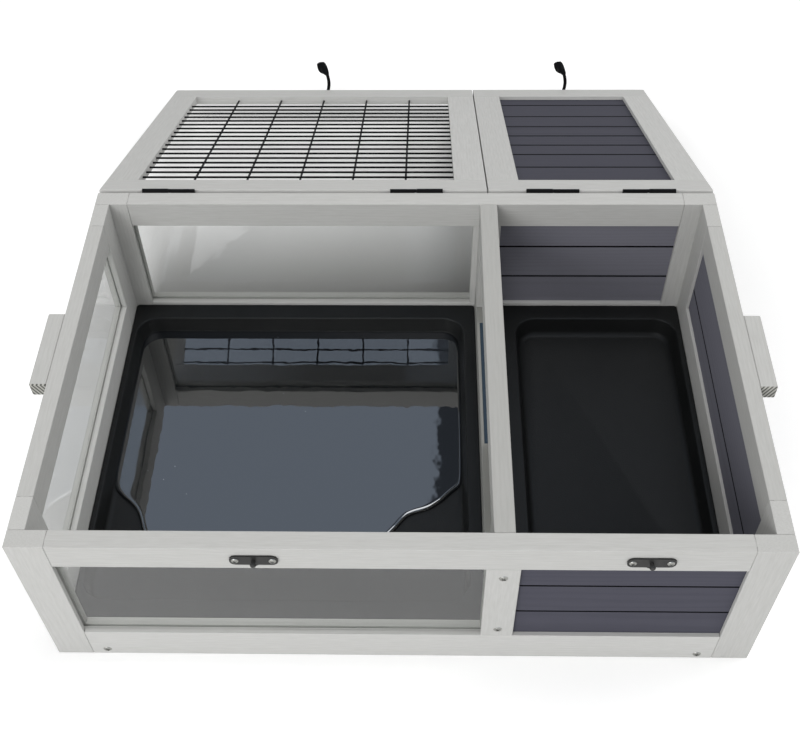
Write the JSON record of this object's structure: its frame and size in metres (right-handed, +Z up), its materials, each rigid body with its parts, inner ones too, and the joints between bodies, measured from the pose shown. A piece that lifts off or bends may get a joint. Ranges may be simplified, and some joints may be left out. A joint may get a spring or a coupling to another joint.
{
  "type": "small animal habitat",
  "caption": "Low wooden two-room pet house with clear windows, lift-out trays, a divider with a doorway, and hinged mesh and boarded lids with hook latches.",
  "frame": {"origin": "middle of the front bottom rail's underside, on the floor, midway between the front wall's two faces", "axes": "+X along the front to the viewer's right, +Y from the front wall to the rear wall and the open lids, +Z up"},
  "size_m": [0.9606, 1.2147, 0.2765],
  "materials": {
    "whitewash": "thin light-grey wash with the grain showing, matt",
    "slate": "slate-grey paint with the grain showing, matt",
    "acrylic": "clear sheet, gloss",
    "tray_plastic": "fine leather grain, matt",
    "black_wire": "black powder coat, semi-matt",
    "black_hardware": "black lacquer, satin"
  },
  "bodies": {
    "cabinet": {"front_left_stile": "whitewash", "front_right_stile": "whitewash", "front_bottom_rail": "whitewash", "front_top_rail": "whitewash", "front_middle_stile": "whitewash", "front_window": "acrylic", "front_boards": "slate", "rear_left_stile": "whitewash", "rear_right_stile": "whitewash", "rear_bottom_rail": "whitewash", "rear_top_rail": "whitewash", "rear_middle_stile": "whitewash", "rear_window": "acrylic", "rear_boards": "slate", "left_front_stile": "whitewash", "left_rear_stile": "whitewash", "left_bottom_rail": "whitewash", "left_top_rail": "whitewash", "left_window": "acrylic", "right_front_stile": "whitewash", "right_rear_stile": "whitewash", "right_bottom_rail": "whitewash", "right_top_rail": "whitewash", "right_boards": "slate", "divider_bottom_rail": "whitewash", "divider_top_rail": "whitewash", "divider_front_stile": "whitewash", "divider_rear_stile": "whitewash", "divider_panel": "whitewash", "left_bearer": "whitewash", "centre_bearer": "whitewash", "right_bearer": "whitewash", "left_grab_block": "whitewash", "right_grab_block": "whitewash", "left_hinge_left_box_leaf": "black_hardware", "left_hinge_right_box_leaf": "black_hardware", "right_hinge_left_box_leaf": "black_hardware", "right_hinge_right_box_leaf": "black_hardware", "left_catch": "black_hardware", "right_catch": "black_hardware"},
    "left_lid": {"left_lid_hinge_rail": "whitewash", "left_lid_front_rail": "whitewash", "left_lid_left_stile": "whitewash", "left_lid_right_stile": "whitewash", "left_lid_wire_mesh": "black_wire", "left_hinge_left_lid_leaf": "black_hardware", "left_hinge_right_lid_leaf": "black_hardware", "left_hook_plate": "black_hardware"},
    "right_lid": {"right_lid_hinge_rail": "whitewash", "right_lid_front_rail": "whitewash", "right_lid_left_stile": "whitewash", "right_lid_right_stile": "whitewash", "right_lid_boards": "slate", "right_hinge_left_lid_leaf": "black_hardware", "right_hinge_right_lid_leaf": "black_hardware", "right_hook_plate": "black_hardware"},
    "left_hook": {"left_hook": "black_hardware"},
    "right_hook": {"right_hook": "black_hardware"},
    "left_tray": {"left_tray": "tray_plastic"},
    "right_tray": {"right_tray": "tray_plastic"}
  },
  "joints": [
    {"name": "left_lid_hinge", "type": "hinge", "parent": "cabinet", "child": "left_lid", "pos_m": [-0.16725, 0.598, 0.2733], "axis": [1, 0, 0], "range_deg": [0, 203.07]},
    {"name": "right_lid_hinge", "type": "hinge", "parent": "cabinet", "child": "right_lid", "pos_m": [0.29075, 0.598, 0.2733], "axis": [1, 0, 0], "range_deg": [0, 203.07]},
    {"name": "left_hook_swing", "type": "hinge", "parent": "left_lid", "child": "left_hook", "pos_m": [-0.161, 1.16057, 0.02544], "axis": [0, -0.92, 0.392], "range_deg": [-100, 6]},
    {"name": "right_hook_swing", "type": "hinge", "parent": "right_lid", "child": "right_hook", "pos_m": [0.3005, 1.16057, 0.02544], "axis": [0, -0.92, 0.392], "range_deg": [-100, 6]},
    {"name": "left_tray_lift", "type": "slide", "parent": "cabinet", "child": "left_tray", "axis": [0, 0, 1], "range_m": [0, 0.3]},
    {"name": "right_tray_lift", "type": "slide", "parent": "cabinet", "child": "right_tray", "axis": [0, 0, 1], "range_m": [0, 0.3]}
  ]
}
